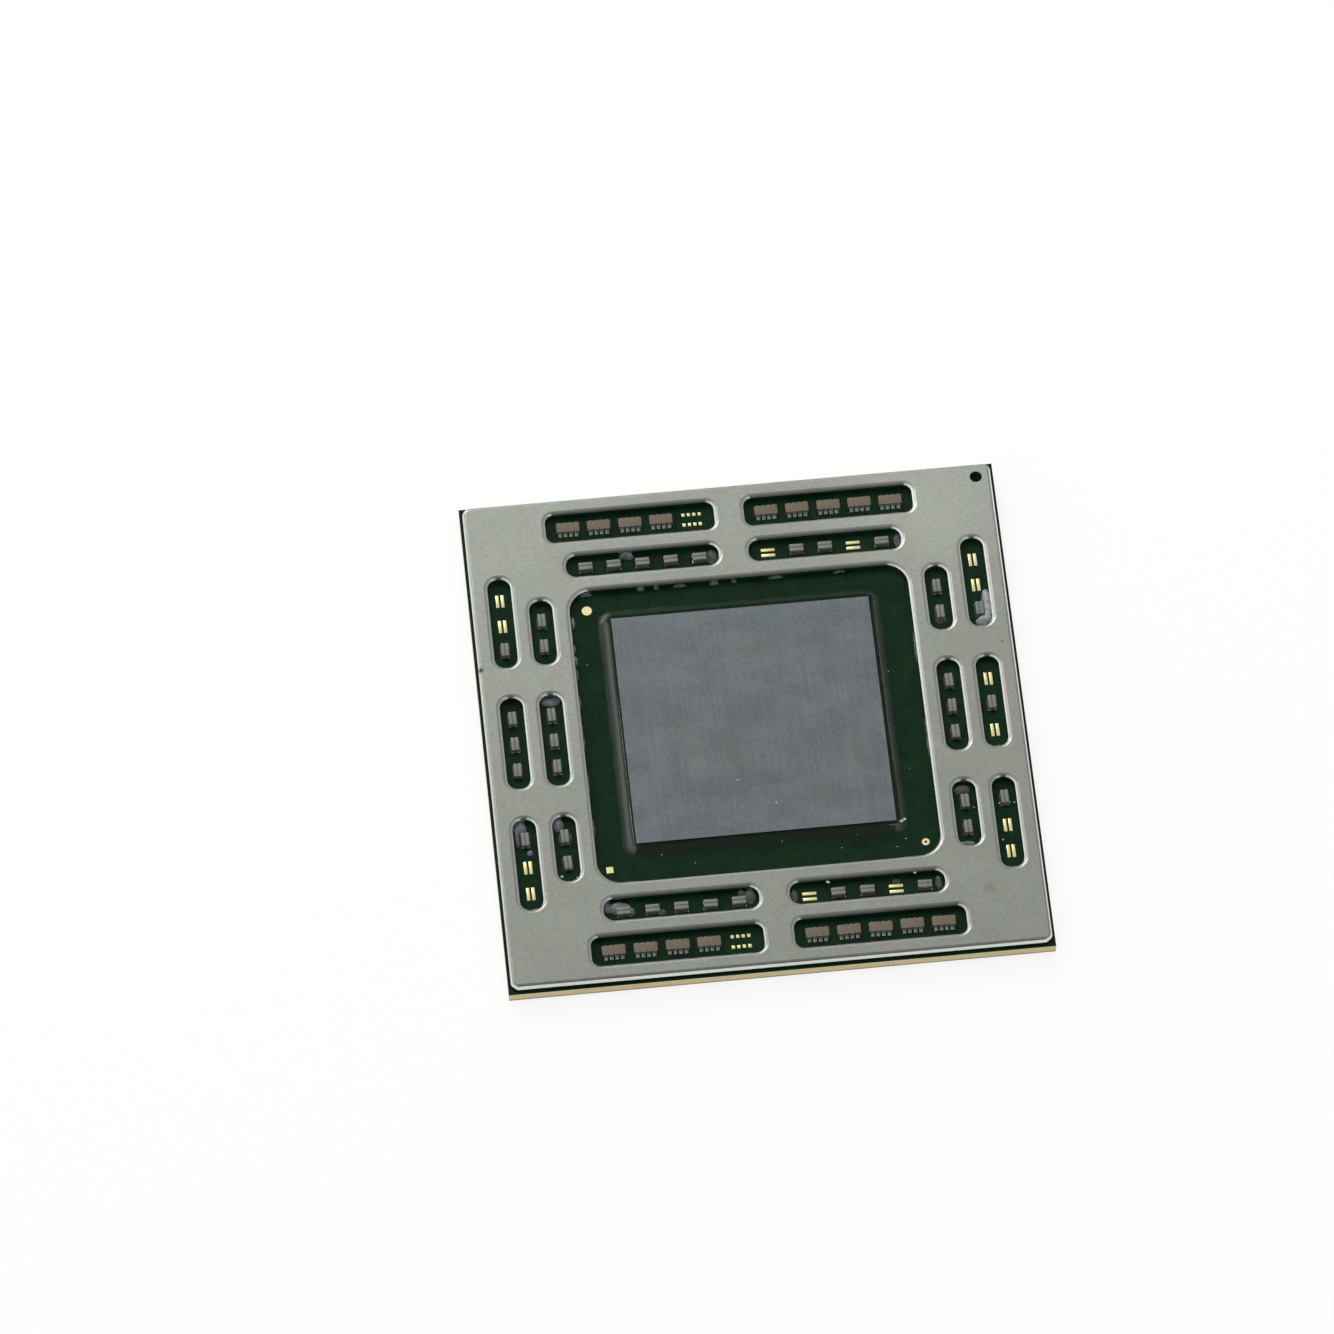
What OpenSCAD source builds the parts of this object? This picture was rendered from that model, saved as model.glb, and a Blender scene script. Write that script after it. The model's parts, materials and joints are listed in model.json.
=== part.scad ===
// Flip-chip ball grid array package with a slotted metal stiffener.
// Origin: centre of the footprint on the plane that the solder balls rest on.
// +Z points from the balls to the die, the pin-one corner is at +X +Y.

/* [Package] */
// Side of the square laminate
body_w = 39.6; // [39.4:0.1:42]
// Thickness of the laminate between the two solder masks
laminate_t = 0.85; // [0.6:0.05:1.4]
// Thickness of each solder mask
mask_t = 0.05; // [0.03:0.01:0.1]

/* [Stiffener] */
// Side of the square stiffener frame
stiff_w = 39.2; // [38.4:0.1:39.4]
// Thickness of the stiffener sheet
stiff_t = 0.6; // [0.4:0.05:1]
// Outer corner radius of the stiffener
stiff_r = 0.6; // [0.4:0.1:1.5]
// Width of the rolled rim round the sheet and its openings
rim = 0.28; // [0.16:0.02:0.3]
// Radius of the rolled rim
rim_bend = 0.5; // [0.45:0.05:0.7]
// Thickness of the adhesive film under the stiffener
adhesive_t = 0.1; // [0.05:0.01:0.2]
// Length of the window for the die, along X
window_w = 25.0; // [23:0.1:25.4]
// Length of the window for the die, along Y
window_h = 23.8; // [22:0.1:24.2]
// Corner radius of the window
window_r = 1.7; // [1:0.1:3]
// Diameter of the pin-one hole
pin_one_d = 0.9; // [0.5:0.1:1.2]
// Distance of the pin-one hole from both outer edges
pin_one_inset = 1.15; // [1:0.05:1.5]

/* [Slots beside the north and south edges] */
// Web between the two slots of a row
row_web = 2.2; // [1.5:0.1:3]
// Distance of the outer row from the centre
outer_row_y = 17.27; // [17:0.01:17.5]
// Length of an outer slot
outer_slot_l = 12.5; // [11.5:0.1:13]
// Width of an outer slot
outer_slot_w = 2.25; // [1.8:0.05:2.4]
// Distance of the inner row from the centre
inner_row_y = 14.03; // [13.8:0.01:14.2]
// Length of an inner slot
inner_slot_l = 11.3; // [10.8:0.1:11.8]
// Width of an inner slot
inner_slot_w = 1.7; // [1.7:0.05:1.9]
// Corner radius of the wide outer slots
outer_slot_r = 0.65; // [0.4:0.05:1]
// Corner radius of the narrow slots
narrow_slot_r = 0.78; // [0.5:0.01:0.84]

/* [Slots beside the east and west edges] */
// Web between two slots of a column
column_web = 2.55; // [1.8:0.05:3]
// Distance of the outer column from the centre
outer_column_x = 17.47; // [17.2:0.01:17.7]
// Distance of the inner column from the centre
inner_column_x = 14.58; // [14.4:0.01:14.7]
// Width of the slots in the columns
column_slot_w = 1.72; // [1.7:0.01:1.9]
// Length of the middle slots
middle_slot_l = 7.35; // [6.8:0.05:7.8]
// Length of the end slots in the outer columns
outer_end_slot_l = 7.25; // [6.6:0.05:7.6]
// Length of the end slots in the inner columns
inner_end_slot_l = 5.2; // [4.8:0.05:5.6]

/* [Die] */
// Length of the silicon die along X
die_l = 18.95; // [16:0.05:20]
// Length of the silicon die along Y
die_w = 18.37; // [16:0.05:19.5]
// Thickness of the silicon die
die_t = 0.78; // [0.6:0.01:0.9]
// Offset of the die from the centre of the package, towards east
die_x = -0.05; // [-0.3:0.05:0.3]
// Offset of the die from the centre of the package, towards north
die_y = 0.1; // [-0.3:0.05:0.3]
// Height of the flip-chip bumps under the die
bump_h = 0.08; // [0.05:0.01:0.12]
// Diameter of a bump
bump_d = 0.3; // [0.2:0.05:0.5]
// Pitch of the bumps
bump_pitch = 1.2; // [0.9:0.1:2]
// Spread of the underfill past the west side of the die
fillet_west = 1.3; // [0.5:0.05:1.5]
// Spread of the underfill past the east side of the die
fillet_east = 0.75; // [0.5:0.05:1.5]
// Spread of the underfill past the south side of the die
fillet_south = 0.8; // [0.5:0.05:1.5]
// Spread of the underfill past the north side of the die
fillet_north = 1.15; // [0.5:0.05:1.3]
// Height of the underfill on the sides of the die
fillet_h = 0.5; // [0.3:0.05:0.7]

/* [Capacitors] */
// Length of the body of a capacitor array with eight terminals
array_l = 1.7; // [1.4:0.02:1.8]
// Width of the body of a capacitor array
array_w = 0.72; // [0.6:0.02:0.9]
// Height of the body of a capacitor array
array_h = 0.46; // [0.3:0.02:0.55]
// Pitch of the capacitor arrays in a slot
array_pitch = 2.3; // [2:0.05:2.5]
// Pitch of the terminals of an array
terminal_pitch = 0.4; // [0.36:0.01:0.42]
// Width of a terminal of an array
terminal_w = 0.22; // [0.15:0.01:0.28]
// How far the rows of arrays lie north of the middle of their slots
array_shift = 0.07; // [-0.1:0.01:0.1]
// Length of the body of a two-terminal capacitor, along its terminals
chip_l = 1.0; // [0.8:0.02:1.1]
// Width of the body of a two-terminal capacitor, from terminal to terminal
chip_w = 0.52; // [0.5:0.02:0.7]
// Height of the body of a two-terminal capacitor
chip_h = 0.42; // [0.3:0.02:0.55]
// Pitch of the two-terminal capacitors in a slot
chip_pitch = 2.1; // [1.8:0.05:2.2]
// How far the southern rows of chips lie south of the middle of their slots
chip_shift = 0.1; // [0:0.01:0.15]
// Thickness of the metal of a terminal
terminal_t = 0.02; // [0.01:0.01:0.04]
// How far a terminal of a chip wraps over the top and the foot of its body
chip_wrap = 0.17; // [0.1:0.01:0.22]
// How far a terminal of an array wraps over the top and the foot of its body
array_wrap = 0.05; // [0.03:0.01:0.2]
// Height of the gap between land and terminal that solder fills
joint_gap = 0.03; // [0.01:0.01:0.06]
// How far a land reaches past the side of a chip
chip_land_reach = 0.15; // [0.08:0.01:0.2]
// How far a land reaches past the side of an array
array_land_reach = 0.19; // [0.08:0.01:0.22]
// Thickness of the gold lands
land_t = 0.04; // [0.02:0.01:0.05]

/* [Ball grid] */
// Diameter of a solder ball
ball_d = 0.56; // [0.45:0.01:0.6]
// Height of a ball from its land to its tip
ball_h = 0.44; // [0.35:0.01:0.5]
// Base pitch of the grid
pitch = 0.8; // [0.78:0.01:0.8]
// Distance of the outermost line of balls from the centre
edge_line = 19.3; // [19:0.05:19.4]
// How far every second ball of the edge line steps inwards
zigzag_step = 0.37; // [0.3:0.01:0.4]
// Balls in the edge line of one side
edge_count = 40; // [36:2:40]
// Distance from the centre of the outer of the two twin rows
twin_line = 18.1; // [18:0.01:18.2]
// Gap between the two twin rows
twin_gap = 0.9; // [0.8:0.01:0.95]
// Balls in each twin row
twin_count = 41; // [37:2:41]
// Pitch of the square field in the centre
centre_pitch = 1.0; // [0.9:0.01:1]
// Balls on one side of the square field
centre_count = 17; // [13:2:17]

/* [Hidden] */
$fn = 32;

// How far a cutter runs past the faces it cuts
past = 0.1;

// Levels of the stack, from the balls up
laminate_z = ball_h + mask_t;
top_mask_z = laminate_z + laminate_t;
top_z = top_mask_z + mask_t;
stiff_z = top_z + adhesive_t;
die_z = top_z + bump_h;

// Plan sizes of the slots, the die and the capacitors
outer_slot = [outer_slot_l, outer_slot_w];
inner_slot = [inner_slot_l, inner_slot_w];
die_size = [die_l, die_w, die_t];
die_offset = [die_x, die_y];
array_body = [array_l, array_w, array_h];
chip_body = [chip_l, chip_w, chip_h];

// Slot centres and the columns' slots from south to north
outer_slot_x = (row_web + outer_slot_l) / 2;
inner_slot_x = (row_web + inner_slot_l) / 2;
outer_end_y = (middle_slot_l + outer_end_slot_l) / 2 + column_web;
inner_end_y = (middle_slot_l + inner_end_slot_l) / 2 + column_web;

// Capacitor sites of each slot, 1 where a capacitor is fitted and 0 where the lands stay bare.
// Rows run from west to east, columns from north to south.
array_fit_west = [1, 1, 1, 1, 0];
array_fit_east = [1, 1, 1, 1, 1];
chip_fit_west = [1, 1, 1, 1, 1];
chip_fit_east = [0, 1, 1, 0, 1];
inner_column_fit = [[1, 1], [1, 1, 1], [1, 1]];
west_column_fit = [[0, 0, 1], [1, 1, 1], [1, 0, 0]];
east_column_fit = [[0, 0, 1], [0, 1, 0], [1, 0, 0]];

// Evenly spaced places about zero
function spread(count, step) = [for (i = [0 : count - 1]) (i - (count - 1) / 2) * step];

// A site is [x, y, turn, fitted]; a row of sites lies along X, a column along Y
function row_sites(x, y, step, fit) =
    [for (i = [0 : len(fit) - 1]) [x + spread(len(fit), step)[i], y, 0, fit[i]]];
function column_sites(x, y, step, fit) =
    [for (i = [0 : len(fit) - 1]) [x, y - spread(len(fit), step)[i], 90, fit[i]]];

function array_sites(side) = let (y = side * outer_row_y + array_shift) concat(
    row_sites(-outer_slot_x, y, array_pitch, array_fit_west),
    row_sites(outer_slot_x, y, array_pitch, array_fit_east));
function chip_row_sites(side) = let (y = side * inner_row_y - (side < 0 ? chip_shift : 0)) concat(
    row_sites(-inner_slot_x, y, chip_pitch, chip_fit_west),
    row_sites(inner_slot_x, y, chip_pitch, chip_fit_east));
function chip_column_sites(side) = let (outer_fit = side < 0 ? west_column_fit : east_column_fit) [
    for (k = [0 : 2])
        each concat(
            column_sites(side * outer_column_x, (1 - k) * outer_end_y, chip_pitch, outer_fit[k]),
            column_sites(side * inner_column_x, (1 - k) * inner_end_y, chip_pitch,
                inner_column_fit[k]))];

function fitted(sites) = [for (s = sites) if (s[3] == 1) s];

// Land outlines as [x, y, width, depth] in a site's own frame
array_land = [terminal_w + 0.02, 0.27];
array_land_y = array_body[1] / 2 + array_land_reach - array_land[1] / 2;
chip_land = [chip_body[0] + 0.02, 0.24];
chip_land_y = chip_body[1] / 2 + chip_land_reach - chip_land[1] / 2;

// Ball layout

// The edge line steps in at every second ball. Along the north and south sides it runs on from
// one end to the other; along the west and east sides it is mirrored about the middle.
function running_edge(count) = [for (i = [0 : count - 1])
    [spread(count, pitch)[i], edge_line - (i % 2 == 0 ? zigzag_step : 0)]];
function mirrored_edge(count) = [for (side = [-1, 1], i = [0 : count / 2 - 1])
    [side * (i + 0.5) * pitch, edge_line - (i % 2 == 0 ? zigzag_step : 0)]];

// Two straight rows lie inside the edge line
function twin_rows() = [for (line = [0, 1], x = spread(twin_count, pitch))
    [x, twin_line - line * twin_gap]];

// A corner holds nine balls, mirrored about its diagonal
corner_half = [[17.95, edge_line], [16.9, edge_line], [17.47, 18.45], [16.82, 17.72]];
function corner_balls() = concat([[18.5, 18.5]], corner_half, [for (p = corner_half) [p[1], p[0]]]);

// The four fields between the twin rows and the centre are made of lines that start one twin gap
// inside the twin rows and run inwards, each with its own number of balls
field_line = twin_line - 2 * twin_gap;
full_line = 10;
function lines(places, counts) = [for (k = [0 : len(places) - 1], j = [0 : counts[k] - 1])
    [places[k], field_line - j * pitch]];

wide_places = spread(20, 2 * pitch);
wide_counts = [for (x = wide_places) x < 9 * pitch + 0.1 ? full_line : x < 11.5 * pitch ? 8 : 6];
west_places = spread(14, 1.5 * pitch);
west_counts = [for (y = west_places) full_line];
east_places = spread(14, 2 * pitch);
east_counts = [for (y = east_places) abs(y) > 12.5 * pitch ? 9 : full_line];

function centre_field() = [for (x = spread(centre_count, centre_pitch),
    y = spread(centre_count, centre_pitch)) [x, y]];

// Shapes

module rounded_plate(size, r, t) {
    linear_extrude(t) {
        square([size[0] - 2 * r, size[1]], center = true);
        square([size[0], size[1] - 2 * r], center = true);
        for (x = [-1, 1], y = [-1, 1])
            translate([x * (size[0] / 2 - r), y * (size[1] / 2 - r)]) circle(r);
    }
}

// A rolled rim follows a circle whose crown would lie just above the top of the sheet, so that it
// meets the top at a small angle and ends in the upright wall. It is laid in flat steps.
crown = 0.008;
rim_steps = 4;
rim_start = acos((rim_bend - crown) / rim_bend);
crown_x = rim_bend * sin(rim_start);
rim_end = asin((crown_x + rim) / rim_bend);

// Points of the rim from the wall up, as [distance from the wall, height]
rim_points = [for (k = [rim_steps : -1 : 0]) let (a = rim_start + (rim_end - rim_start) * k / rim_steps)
    [crown_x + rim - rim_bend * sin(a), stiff_t + crown - rim_bend * (1 - cos(a))]];

// Half section of an opening whose wall stands at x = half
module opening_section(half) {
    polygon(concat([[0, -past], [half, -past]], [for (p = rim_points) [half + p[0], p[1]]],
        [[half + rim, stiff_t + past], [0, stiff_t + past]]));
}

// Half section of the sheet whose edge stands at x = half
module edge_section(half) {
    polygon(concat([[0, 0], [half, 0]], [for (p = rim_points) [half - p[0], p[1]]], [[0, stiff_t]]));
}

// Runs a half section along a bar of length l, to both sides
module both_sides(l) {
    rotate([90, 0, 0]) translate([0, 0, -l / 2]) linear_extrude(l) {
        children();
        mirror([1, 0]) children();
    }
}

// A punched opening with a rolled rim, right through the sheet
module punched(size, r) {
    both_sides(size[1] - 2 * r) opening_section(size[0] / 2);
    rotate(90) both_sides(size[0] - 2 * r) opening_section(size[1] / 2);
    for (x = [-1, 1], y = [-1, 1])
        translate([x * (size[0] / 2 - r), y * (size[1] / 2 - r), 0])
            rotate_extrude() opening_section(r);
}

// A square sheet with a rolled edge
module rolled_sheet(w, r) {
    for (turn = [0, 90]) rotate(turn) both_sides(w - 2 * r) edge_section(w / 2);
    for (turn = [0 : 90 : 270])
        rotate(turn) translate([w / 2 - r, w / 2 - r, 0])
            rotate_extrude(angle = 90) edge_section(r);
}

// Puts its children at every slot of the stiffener; $slot is the size and $slot_r the radius
module at_slots() {
    for (x = [-1, 1], y = [-1, 1]) {
        $slot_r = outer_slot_r;
        $slot = outer_slot;
        translate([x * outer_slot_x, y * outer_row_y, 0]) children();
    }
    for (x = [-1, 1], y = [-1, 1]) {
        $slot_r = narrow_slot_r;
        $slot = inner_slot;
        translate([x * inner_slot_x, y * inner_row_y, 0]) children();
    }
    for (x = [-1, 1], k = [-1 : 1]) {
        $slot_r = narrow_slot_r;
        $slot = [column_slot_w, k == 0 ? middle_slot_l : outer_end_slot_l];
        translate([x * outer_column_x, k * outer_end_y, 0]) children();
    }
    for (x = [-1, 1], k = [-1 : 1]) {
        $slot_r = narrow_slot_r;
        $slot = [column_slot_w, k == 0 ? middle_slot_l : inner_end_slot_l];
        translate([x * inner_column_x, k * inner_end_y, 0]) children();
    }
}

pin_one_xy = [1, 1] * (stiff_w / 2 - pin_one_inset);

module at_sites(sites) {
    for (s = sites) translate([s[0], s[1], 0]) rotate(s[2]) children();
}

module array_land_outlines() {
    for (x = spread(4, terminal_pitch), y = [-1, 1])
        translate([x, y * array_land_y]) square(array_land, center = true);
}

module chip_land_outlines() {
    for (y = [-1, 1]) translate([0, y * chip_land_y]) square(chip_land, center = true);
}

// Fiducials round the die: a dot, a square and a ring
dot_at = [-11.2, 10.55];
square_at = [-11.6, -10.6];
ring_at = [11.4, -10.6];

module fiducial_outlines() {
    translate(dot_at) circle(d = 0.74);
    translate(square_at) square(0.5, center = true);
    translate(ring_at) difference() {
        circle(d = 0.56);
        circle(d = 0.2);
    }
}

module pin_one_outline() {
    translate([1, 1] * (body_w / 2 - 0.4)) polygon([[0, 0], [-0.75, 0], [0, -0.75]]);
}

module top_lands(side_arrays, side_chips) {
    translate([0, 0, top_mask_z]) linear_extrude(land_t) {
        at_sites(side_arrays) array_land_outlines();
        at_sites(side_chips) chip_land_outlines();
    }
}

// Metal wrapped round one long side of a capacitor body, seen along the body's length
module terminal_profile(body, wrap) {
    difference() {
        translate([body[1] / 2 - wrap, -terminal_t])
            square([wrap + terminal_t, body[2] + 2 * terminal_t]);
        square([body[1] / 2, body[2]]);
    }
}

// Solder from the land up to the terminal and a third of the way up its side
module joint_profile(body, land_y, land_l) {
    foot = land_y - land_l / 2;
    toe = land_y + land_l / 2;
    face = body[1] / 2 + terminal_t;
    sole = joint_gap + mask_t - land_t;
    polygon([[foot, 0], [toe, 0], [face + (toe - face) * 0.3, sole + body[2] * 0.12],
        [face, sole + body[2] * 0.35], [face, sole], [foot, sole]]);
}

module along_long_side(l) {
    rotate([90, 0, 90]) translate([0, 0, -l / 2]) linear_extrude(l) children();
}

cap_z = top_z + joint_gap + terminal_t;

module array_terminals(sites) {
    at_sites(fitted(sites))
        for (x = spread(4, terminal_pitch), turn = [0, 180])
            rotate(turn) translate([x, 0, cap_z])
                along_long_side(terminal_w) terminal_profile(array_body, array_wrap);
}

module chip_terminals(sites) {
    at_sites(fitted(sites))
        for (turn = [0, 180])
            rotate(turn) translate([0, 0, cap_z])
                along_long_side(chip_body[0]) terminal_profile(chip_body, chip_wrap);
}

module array_joints(sites) {
    at_sites(fitted(sites))
        for (x = spread(4, terminal_pitch), turn = [0, 180])
            rotate(turn) translate([x, 0, top_mask_z + land_t])
                along_long_side(terminal_w) joint_profile(array_body, array_land_y, array_land[1]);
}

module chip_joints(sites) {
    at_sites(fitted(sites))
        for (turn = [0, 180])
            rotate(turn) translate([0, 0, top_mask_z + land_t])
                along_long_side(chip_body[0]) joint_profile(chip_body, chip_land_y, chip_land[1]);
}

module bodies(sites, body) {
    at_sites(fitted(sites))
        translate([-body[0] / 2, -body[1] / 2, cap_z]) cube(body);
}

// A reflowed ball: a sphere flattened where it wets its land
module solder_ball() {
    rotate_extrude()
        intersection() {
            translate([0, ball_d / 2]) circle(ball_d / 2);
            square([ball_d, ball_h]);
        }
}

module balls(places) {
    for (p = places) translate([p[0], p[1], 0]) solder_ball();
}

// Sub-parts

module laminate() {
    color("burlywood") translate([-body_w / 2, -body_w / 2, laminate_z])
        cube([body_w, body_w, laminate_t]);
}

module top_mask() {
    color("darkgreen") translate([0, 0, top_mask_z]) linear_extrude(mask_t)
        difference() {
            square(body_w, center = true);
            for (side = [-1, 1]) {
                at_sites(array_sites(side)) array_land_outlines();
                at_sites(chip_row_sites(side)) chip_land_outlines();
                at_sites(chip_column_sites(side)) chip_land_outlines();
            }
            fiducial_outlines();
        }
}

module bottom_mask() {
    color("darkgreen") translate([0, 0, ball_h]) linear_extrude(mask_t)
        difference() {
            square(body_w, center = true);
            pin_one_outline();
        }
}

module stiffener() {
    color("darkgray") translate([0, 0, stiff_z]) difference() {
        rolled_sheet(stiff_w, stiff_r);
        punched([window_w, window_h], window_r);
        at_slots() punched($slot, $slot_r);
        translate([pin_one_xy[0], pin_one_xy[1], -past])
            cylinder(h = stiff_t + 2 * past, d = pin_one_d);
    }
}

// The film keeps back a little from every edge of the sheet above it
module stiffener_adhesive() {
    back = 0.1;
    cut_t = adhesive_t + 2 * past;
    color("dimgray") translate([0, 0, top_z]) difference() {
        rounded_plate([stiff_w - back, stiff_w - back], stiff_r, adhesive_t);
        translate([0, 0, -past]) {
            rounded_plate([window_w + back, window_h + back], window_r, cut_t);
            at_slots() rounded_plate($slot + [back, back], $slot_r, cut_t);
            translate(pin_one_xy) cylinder(h = cut_t, d = pin_one_d + back);
        }
    }
}

module silicon_die() {
    color("slategray")
        translate([die_offset[0] - die_size[0] / 2, die_offset[1] - die_size[1] / 2, die_z])
            cube(die_size);
}

module bump_places() {
    nx = floor((die_size[0] - 1) / bump_pitch) + 1;
    ny = floor((die_size[1] - 1) / bump_pitch) + 1;
    for (x = spread(nx, bump_pitch), y = spread(ny, bump_pitch))
        translate([die_offset[0] + x, die_offset[1] + y]) circle(d = bump_d);
}

module die_bumps() {
    color("silver") translate([0, 0, top_z]) linear_extrude(bump_h) bump_places();
}

// Outline of the underfill when it has spread by a share of its full reach
module fillet_outline(share) {
    west = fillet_west * share;
    east = fillet_east * share;
    south = fillet_south * share;
    north = fillet_north * share;
    r = 0.1 + 0.7 * share;
    translate([die_offset[0] + (east - west) / 2, die_offset[1] + (north - south) / 2, 0])
        rounded_plate([die_size[0] + west + east, die_size[1] + south + north], r, 0.01);
}

module underfill() {
    color("darkslategray") translate([0, 0, top_z]) difference() {
        union() {
            hull() {
                fillet_outline(1);
                translate([0, 0, fillet_h * 0.25]) fillet_outline(0.45);
            }
            hull() {
                translate([0, 0, fillet_h * 0.25]) fillet_outline(0.45);
                translate([0, 0, fillet_h]) fillet_outline(0.12);
            }
        }
        translate([0, 0, -past]) linear_extrude(bump_h + 2 * past) bump_places();
        translate([die_offset[0] - die_size[0] / 2, die_offset[1] - die_size[1] / 2, bump_h])
            cube(die_size);
    }
}

module fiducials() {
    color("gold") translate([0, 0, top_mask_z]) linear_extrude(land_t) fiducial_outlines();
}

module pin_one_mark() {
    color("gold") translate([0, 0, laminate_z - land_t]) linear_extrude(land_t) pin_one_outline();
}

module lands_north() { color("gold") top_lands(array_sites(1), chip_row_sites(1)); }
module lands_south() { color("gold") top_lands(array_sites(-1), chip_row_sites(-1)); }
module lands_west() { color("gold") top_lands([], chip_column_sites(-1)); }
module lands_east() { color("gold") top_lands([], chip_column_sites(1)); }

module array_caps_north() { color("rosybrown") bodies(array_sites(1), array_body); }
module array_caps_south() { color("rosybrown") bodies(array_sites(-1), array_body); }
module chip_caps_north() { color("gray") bodies(chip_row_sites(1), chip_body); }
module chip_caps_south() { color("gray") bodies(chip_row_sites(-1), chip_body); }
module chip_caps_west() { color("gray") bodies(chip_column_sites(-1), chip_body); }
module chip_caps_east() { color("gray") bodies(chip_column_sites(1), chip_body); }

module array_terminals_north() { color("silver") array_terminals(array_sites(1)); }
module array_terminals_south() { color("silver") array_terminals(array_sites(-1)); }
module chip_terminals_north() { color("silver") chip_terminals(chip_row_sites(1)); }
module chip_terminals_south() { color("silver") chip_terminals(chip_row_sites(-1)); }
module chip_terminals_west() { color("silver") chip_terminals(chip_column_sites(-1)); }
module chip_terminals_east() { color("silver") chip_terminals(chip_column_sites(1)); }

module solder_joints_north() {
    color("lightgray") {
        array_joints(array_sites(1));
        chip_joints(chip_row_sites(1));
    }
}

module solder_joints_south() {
    color("lightgray") {
        array_joints(array_sites(-1));
        chip_joints(chip_row_sites(-1));
    }
}

module solder_joints_west() { color("lightgray") chip_joints(chip_column_sites(-1)); }
module solder_joints_east() { color("lightgray") chip_joints(chip_column_sites(1)); }

// The layout functions give each group of balls for the north side; it is turned to its own side
module balls_corners() {
    color("gainsboro") for (turn = [0, 90, 180, 270]) rotate(turn) balls(corner_balls());
}

module balls_edge_north() { color("gainsboro") balls(running_edge(edge_count)); }
module balls_edge_south() { color("gainsboro") mirror([0, 1, 0]) balls(running_edge(edge_count)); }
module balls_edge_west() { color("gainsboro") rotate(90) balls(mirrored_edge(edge_count)); }
module balls_edge_east() { color("gainsboro") rotate(-90) balls(mirrored_edge(edge_count)); }
module balls_twin_north() { color("gainsboro") balls(twin_rows()); }
module balls_twin_south() { color("gainsboro") rotate(180) balls(twin_rows()); }
module balls_twin_west() { color("gainsboro") rotate(90) balls(twin_rows()); }
module balls_twin_east() { color("gainsboro") rotate(-90) balls(twin_rows()); }
module balls_field_north() { color("gainsboro") balls(lines(wide_places, wide_counts)); }
module balls_field_south() {
    color("gainsboro") mirror([0, 1, 0]) balls(lines(wide_places, wide_counts));
}
module balls_field_west() { color("gainsboro") rotate(90) balls(lines(west_places, west_counts)); }
module balls_field_east() { color("gainsboro") rotate(-90) balls(lines(east_places, east_counts)); }
module balls_field_centre() { color("gainsboro") balls(centre_field()); }

laminate();
top_mask();
bottom_mask();
stiffener();
stiffener_adhesive();
silicon_die();
die_bumps();
underfill();
fiducials();
pin_one_mark();
lands_north();
lands_south();
lands_west();
lands_east();
array_caps_north();
array_caps_south();
array_terminals_north();
array_terminals_south();
chip_caps_north();
chip_caps_south();
chip_caps_west();
chip_caps_east();
chip_terminals_north();
chip_terminals_south();
chip_terminals_west();
chip_terminals_east();
solder_joints_north();
solder_joints_south();
solder_joints_west();
solder_joints_east();
balls_corners();
balls_edge_north();
balls_edge_south();
balls_edge_west();
balls_edge_east();
balls_twin_north();
balls_twin_south();
balls_twin_west();
balls_twin_east();
balls_field_north();
balls_field_south();
balls_field_west();
balls_field_east();
balls_field_centre();
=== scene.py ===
# Finish, wear, camera and light for the flip-chip package
import json
import math
import random
import bpy
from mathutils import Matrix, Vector

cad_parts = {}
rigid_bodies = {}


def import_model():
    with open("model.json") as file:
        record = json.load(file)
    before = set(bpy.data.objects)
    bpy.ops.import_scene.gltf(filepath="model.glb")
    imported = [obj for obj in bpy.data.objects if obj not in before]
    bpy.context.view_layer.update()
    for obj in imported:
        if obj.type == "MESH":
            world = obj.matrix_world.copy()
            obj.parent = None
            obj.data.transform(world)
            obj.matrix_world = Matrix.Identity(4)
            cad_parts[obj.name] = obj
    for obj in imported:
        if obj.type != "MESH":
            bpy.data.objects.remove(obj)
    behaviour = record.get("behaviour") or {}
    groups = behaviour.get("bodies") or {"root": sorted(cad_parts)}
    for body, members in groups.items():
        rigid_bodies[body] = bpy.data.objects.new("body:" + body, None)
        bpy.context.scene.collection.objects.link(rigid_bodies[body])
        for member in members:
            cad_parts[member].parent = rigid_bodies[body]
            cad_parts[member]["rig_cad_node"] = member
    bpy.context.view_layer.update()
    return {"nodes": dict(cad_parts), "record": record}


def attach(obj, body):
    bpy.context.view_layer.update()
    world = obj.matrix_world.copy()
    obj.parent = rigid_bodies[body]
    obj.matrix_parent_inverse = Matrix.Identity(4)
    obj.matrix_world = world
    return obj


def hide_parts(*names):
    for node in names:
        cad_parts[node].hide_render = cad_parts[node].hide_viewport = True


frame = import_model()
mm = 0.001
print("frame loaded:", len(frame["nodes"]), "nodes")

# helpers for modelling


def selectOnly(piece):
    if bpy.context.mode != "OBJECT":
        bpy.ops.object.mode_set(mode="OBJECT")
    bpy.ops.object.select_all(action="DESELECT")
    piece.select_set(True)
    bpy.context.view_layer.objects.active = piece


def applyModifier(piece, kind, **settings):
    selectOnly(piece)
    modifier = piece.modifiers.new(kind.title(), kind)
    for name, value in settings.items():
        setattr(modifier, name, value)
    bpy.ops.object.modifier_apply(modifier=modifier.name)


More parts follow.
